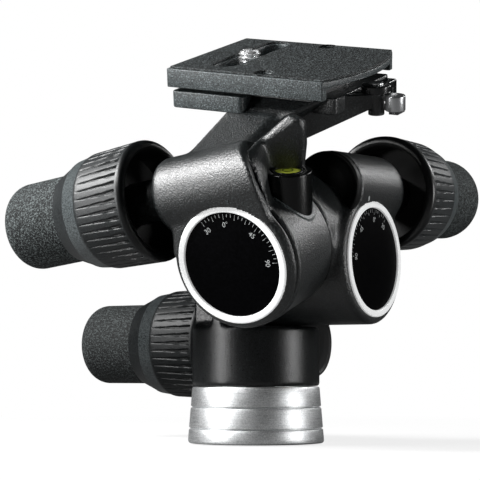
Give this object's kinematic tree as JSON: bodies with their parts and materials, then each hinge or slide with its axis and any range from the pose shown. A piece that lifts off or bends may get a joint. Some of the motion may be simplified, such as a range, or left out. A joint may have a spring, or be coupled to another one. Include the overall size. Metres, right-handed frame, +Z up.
{
  "type": "geared tripod head",
  "caption": "Geared three-way tripod head: pan, front tilt and side tilt stages in series, each driven by a worm with a rubber knob and a declutch collar, with a quick-release camera plate.",
  "frame": {"origin": "centre of the underside of the base, on the pan axis", "axes": "+Z up along the pan axis; +X towards the outward face of the front tilt dial; -Y is the front, the side of the side tilt dial"},
  "size_m": [0.1888, 0.1933, 0.1819],
  "materials": {
    "cast_paint": "charcoal fine-textured paint on die-cast metal, semi-matte",
    "cap_paint": "darker charcoal paint",
    "collar": "charcoal moulded technopolymer, satin with a glossy smooth band",
    "grip_rubber": "soft speckled foam rubber",
    "knob_core": "dark moulded plastic",
    "base_metal": "bright turned, fine circular lines",
    "dial_ring": "satin anodised, almost white",
    "dial_black": "smooth black with white marks",
    "index_white": "white paint",
    "gear_bronze": "machined bronze",
    "steel": "turned steel",
    "vial": "yellow-green level glass",
    "plate_metal": "grey anodised cast plate, satin",
    "pad_rubber": "fine-grained rubber",
    "lever_black": "black, satin",
    "catch_silver": "bright turned metal"
  },
  "bodies": {
    "base": {"base_ring": "base_metal", "thread_bush": "steel", "pan_wheel": "gear_bronze", "wheel_screws": "steel"},
    "pan_stage": {"pan_column": "cast_paint", "pan_worm_cap": "cap_paint", "pillar_cap": "cap_paint", "spindle_b": "steel", "wheel_b": "gear_bronze", "dial_b": "dial_black"},
    "tilt_stage": {"tilt_housing": "cast_paint", "bezel_b": "dial_ring", "index_b": "index_white", "tilt_worm_cap": "cap_paint", "spindle_a": "steel", "wheel_a": "gear_bronze", "dial_a": "dial_black"},
    "side_stage": {"gear_housing_a": "cast_paint", "hub_a": "cast_paint", "bezel_a": "dial_ring", "index_a": "index_white", "level_glass": "vial", "platform": "cast_paint", "platform_bracket": "cast_paint", "platform_screws": "steel", "lever_pin": "steel"},
    "pan_knob": {"worm_p": "steel", "core_p": "knob_core", "grip_p": "grip_rubber"},
    "front_knob": {"worm_r": "steel", "core_r": "knob_core", "grip_r": "grip_rubber"},
    "side_knob": {"worm_l": "steel", "core_l": "knob_core", "grip_l": "grip_rubber"},
    "pan_collar": {"collar_p": "collar"},
    "front_collar": {"collar_r": "collar"},
    "side_collar": {"collar_l": "collar"},
    "clamp_lever": {"lever": "lever_black"},
    "catch_button": {"safety_catch": "catch_silver"},
    "plate": {"plate_body": "plate_metal", "plate_pad": "pad_rubber"},
    "screw": {"camera_screw": "steel"}
  },
  "joints": [
    {"name": "pan_turn", "type": "hinge", "parent": "base", "child": "pan_stage", "pos_m": [0, 0, 0.0442], "axis": [0, 0, 1], "continuous": true},
    {"name": "front_tilt", "type": "hinge", "parent": "pan_stage", "child": "tilt_stage", "pos_m": [0, 0, 0.0789], "axis": [1, 0, 0], "range_deg": [-50, 15]},
    {"name": "side_tilt", "type": "hinge", "parent": "tilt_stage", "child": "side_stage", "pos_m": [0.0275, -0.00602, 0.09544], "axis": [0, 0.9397, 0.342], "range_deg": [-40, 80]},
    {"name": "pan_knob_turn", "type": "hinge", "parent": "pan_stage", "child": "pan_knob", "pos_m": [0, 0.0291, 0.0442], "axis": [-1, 0, 0], "continuous": true},
    {"name": "front_knob_turn", "type": "hinge", "parent": "tilt_stage", "child": "front_knob", "pos_m": [0.0454, -0.00137, 0.10907], "axis": [0, 0.999, 0.0454], "continuous": true},
    {"name": "side_knob_turn", "type": "hinge", "parent": "side_stage", "child": "side_knob", "pos_m": [0.02361, -0.06306, 0.10655], "axis": [-0.9917, 0.0441, -0.121], "continuous": true},
    {"name": "pan_release", "type": "hinge", "parent": "pan_stage", "child": "pan_collar", "pos_m": [-0.05, 0.0291, 0.0442], "axis": [-1, 0, 0], "range_deg": [0, 30], "stiffness_Nm_per_rad": 0.5, "springref_deg": -22.92},
    {"name": "front_release", "type": "hinge", "parent": "tilt_stage", "child": "front_collar", "pos_m": [0.0454, 0.04858, 0.11134], "axis": [0, 0.999, 0.0454], "range_deg": [0, 30], "stiffness_Nm_per_rad": 0.5, "springref_deg": -22.92},
    {"name": "side_release", "type": "hinge", "parent": "side_stage", "child": "side_collar", "pos_m": [-0.02597, -0.06086, 0.1005], "axis": [-0.9917, 0.0441, -0.121], "range_deg": [0, 30], "stiffness_Nm_per_rad": 0.5, "springref_deg": -22.92},
    {"name": "lever_swing", "type": "hinge", "parent": "side_stage", "child": "clamp_lever", "pos_m": [0.0692, -0.01843, 0.14707], "axis": [0.1736, -0.3368, 0.9254], "range_deg": [-30, 0], "stiffness_Nm_per_rad": 0.08, "springref_deg": 22.92},
    {"name": "catch_turn", "type": "hinge", "parent": "side_stage", "child": "catch_button", "pos_m": [0.07641, -0.01549, 0.139], "axis": [0.1736, -0.3368, 0.9254], "range_deg": [0, 60], "stiffness_Nm_per_rad": 0.02, "springref_deg": -22.92},
    {"name": "plate_lift", "type": "slide", "parent": "side_stage", "child": "plate", "axis": [0.1736, -0.3368, 0.9254], "range_m": [0, 0.03]},
    {"name": "screw_slide", "type": "slide", "parent": "plate", "child": "screw", "axis": [0, 0.9397, 0.342], "range_m": [-0.0205, 0.0245]}
  ],
  "couplings": [
    {"joint": "pan_knob_turn", "follows": "pan_turn", "ratio": 48},
    {"joint": "front_knob_turn", "follows": "front_tilt", "ratio": 48},
    {"joint": "side_knob_turn", "follows": "side_tilt", "ratio": 48}
  ]
}
